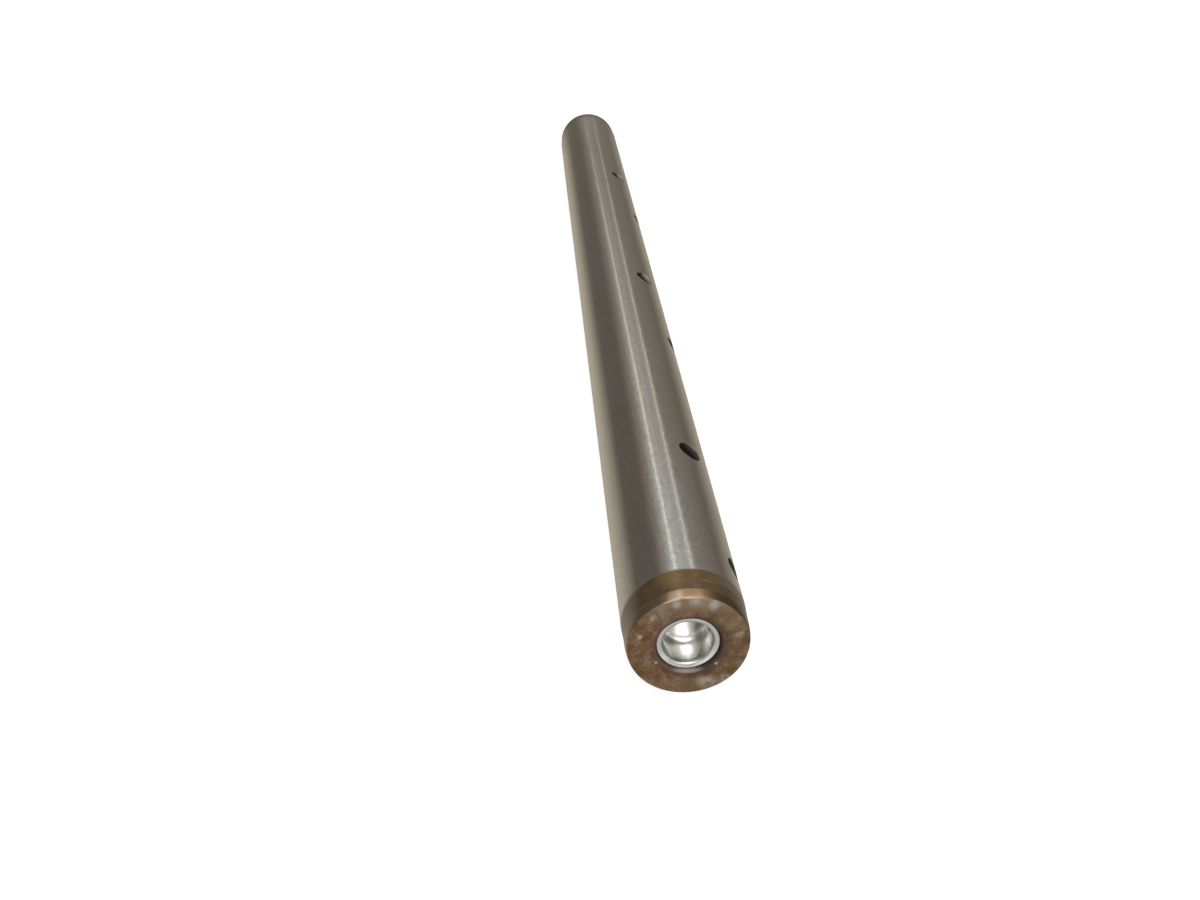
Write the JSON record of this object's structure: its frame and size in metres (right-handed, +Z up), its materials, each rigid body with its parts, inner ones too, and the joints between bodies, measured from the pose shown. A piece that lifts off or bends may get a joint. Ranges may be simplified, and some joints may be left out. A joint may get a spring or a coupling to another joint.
{
  "type": "rocker shaft",
  "caption": "Hollow ground steel shaft with two rows of oil holes, turned-down ends and a recessed cup plug pressed into each end of its oil gallery.",
  "frame": {"origin": "on the shaft's axis, at half its length", "axes": "Y along the shaft, with the end that the picture shows at -Y; +Z up as installed; both rows of oil holes face up and towards +X"},
  "size_m": [0.02, 0.285, 0.02],
  "materials": {
    "ground_steel": "ground bearing surface, mottled by oil and heat, with brown heat tint on both turned-down ends and end faces",
    "plated_steel": "pressed sheet with a dull bright plating"
  },
  "bodies": {
    "root": {"shaft_tube": "ground_steel", "near_plug": "plated_steel", "far_plug": "plated_steel"}
  },
  "joints": []
}
